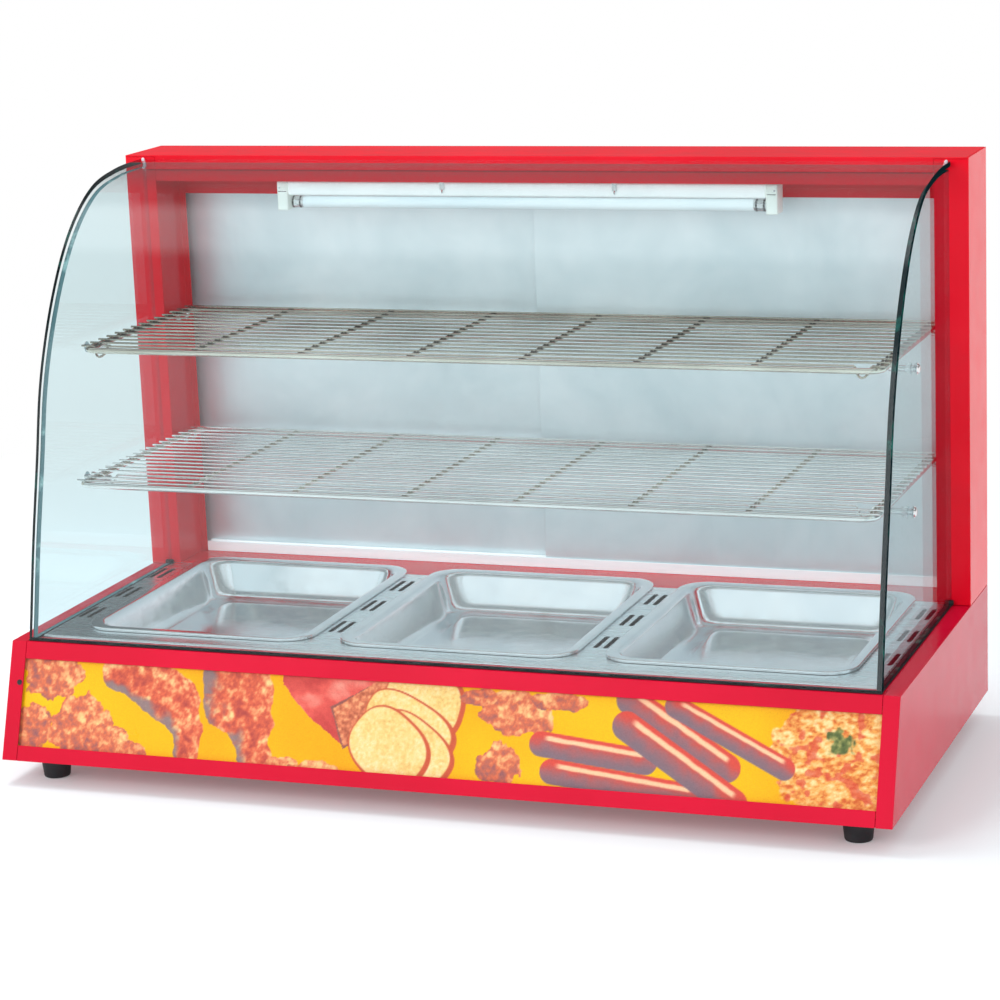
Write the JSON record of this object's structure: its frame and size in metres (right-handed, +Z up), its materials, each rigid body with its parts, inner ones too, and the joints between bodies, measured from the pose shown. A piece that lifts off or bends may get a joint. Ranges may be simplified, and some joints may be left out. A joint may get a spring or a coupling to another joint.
{
  "type": "hot food display case",
  "caption": "Counter-top heated food display case: red steel body with a lit picture front, curved glass, wire shelves, lift-out pans and sliding rear doors.",
  "frame": {"origin": "on the surface the case stands on, at the middle of its plan (thermostat knob included)", "axes": "+X to the right seen from the front, +Y to the back (operator side), +Z up"},
  "size_m": [0.9, 0.455, 0.583],
  "materials": {
    "red_paint": "gloss",
    "picture_print": "gloss",
    "white_enamel": "satin",
    "white_plastic": "satin",
    "lamp_glass": "gloss",
    "black_rubber": "matte",
    "black_plastic": "satin",
    "pilot_lens": "gloss",
    "stainless": "satin",
    "door_steel": "satin",
    "element_sheath": "matte",
    "clear_glass": "gloss",
    "track_aluminium": "satin",
    "chrome_wire": "gloss"
  },
  "bodies": {
    "case": {"ballast": "white_enamel", "base_floor_plate": "red_paint", "base_front_bottom_rail": "red_paint", "base_front_top_rail": "red_paint", "base_rear_panel": "red_paint", "base_side_left": "red_paint", "base_side_right": "red_paint", "cable_gland": "black_plastic", "deck_plate": "stainless", "door_track_bottom": "track_aluminium", "door_track_top": "track_aluminium", "element_support_left": "element_sheath", "element_support_right": "element_sheath", "foot_front_left": "black_rubber", "foot_front_right": "black_rubber", "foot_rear_left": "black_rubber", "foot_rear_right": "black_rubber", "glass_front_curved": "clear_glass", "glass_seal": "black_rubber", "glass_side_left": "clear_glass", "glass_side_right": "clear_glass", "heat_switch_housing": "black_plastic", "heat_well_tray": "stainless", "heating_element": "element_sheath", "lamp_batten": "white_enamel", "lampholder_left": "white_plastic", "lampholder_right": "white_plastic", "light_box": "white_enamel", "light_switch_housing": "black_plastic", "picture_panel": "picture_print", "pilot_lamp": "pilot_lens", "post_left": "red_paint", "post_right": "red_paint", "rear_ledge": "red_paint", "shelf_pin_lower_front_left": "chrome_wire", "shelf_pin_lower_front_right": "chrome_wire", "shelf_pin_lower_rear_left": "chrome_wire", "shelf_pin_lower_rear_right": "chrome_wire", "shelf_pin_upper_front_left": "chrome_wire", "shelf_pin_upper_front_right": "chrome_wire", "shelf_pin_upper_rear_left": "chrome_wire", "shelf_pin_upper_rear_right": "chrome_wire", "sign_lampholder_left": "white_plastic", "sign_lampholder_right": "white_plastic", "sign_tube": "lamp_glass", "thermostat_body": "black_plastic", "top_rail": "red_paint"},
    "door_left_body": {"door_left": "door_steel", "door_pull_left": "door_steel"},
    "door_right_body": {"door_right": "door_steel", "door_pull_right": "door_steel"},
    "knob_body": {"thermostat_knob": "black_plastic"},
    "heat_rocker_body": {"heat_switch_rocker": "black_plastic"},
    "light_rocker_body": {"light_switch_rocker": "black_plastic"},
    "pan_left_body": {"pan_left": "stainless"},
    "pan_centre_body": {"pan_centre": "stainless"},
    "pan_right_body": {"pan_right": "stainless"},
    "shelf_upper_body": {"shelf_upper": "chrome_wire"},
    "shelf_lower_body": {"shelf_lower": "chrome_wire"},
    "lamp_tube_body": {"lamp_tube": "lamp_glass"}
  },
  "joints": [
    {"name": "door_left_slide", "type": "slide", "parent": "case", "child": "door_left_body", "axis": [1, 0, 0], "range_m": [0, 0.39]},
    {"name": "door_right_slide", "type": "slide", "parent": "case", "child": "door_right_body", "axis": [1, 0, 0], "range_m": [-0.39, 0]},
    {"name": "thermostat_turn", "type": "hinge", "parent": "case", "child": "knob_body", "pos_m": [0.3, 0.2175, 0.088], "axis": [0, -1, 0], "range_deg": [0, 270]},
    {"name": "heat_switch_rock", "type": "hinge", "parent": "case", "child": "heat_rocker_body", "pos_m": [0.205, 0.2133, 0.088], "axis": [1, 0, 0], "range_deg": [0, 16]},
    {"name": "light_switch_rock", "type": "hinge", "parent": "case", "child": "light_rocker_body", "pos_m": [0.16, 0.2133, 0.088], "axis": [1, 0, 0], "range_deg": [0, 16]},
    {"name": "pan_left_lift", "type": "slide", "parent": "case", "child": "pan_left_body", "axis": [0, 0, 1], "range_m": [0, 0.09]},
    {"name": "pan_centre_lift", "type": "slide", "parent": "case", "child": "pan_centre_body", "axis": [0, 0, 1], "range_m": [0, 0.09]},
    {"name": "pan_right_lift", "type": "slide", "parent": "case", "child": "pan_right_body", "axis": [0, 0, 1], "range_m": [0, 0.09]},
    {"name": "shelf_upper_lift", "type": "slide", "parent": "case", "child": "shelf_upper_body", "axis": [0, 0, 1], "range_m": [0, 0.02]},
    {"name": "shelf_lower_lift", "type": "slide", "parent": "case", "child": "shelf_lower_body", "axis": [0, 0, 1], "range_m": [0, 0.02]},
    {"name": "lamp_tube_turn", "type": "hinge", "parent": "case", "child": "lamp_tube_body", "pos_m": [-0.01, 0.1425, 0.533], "axis": [1, 0, 0], "range_deg": [0, 90]}
  ]
}
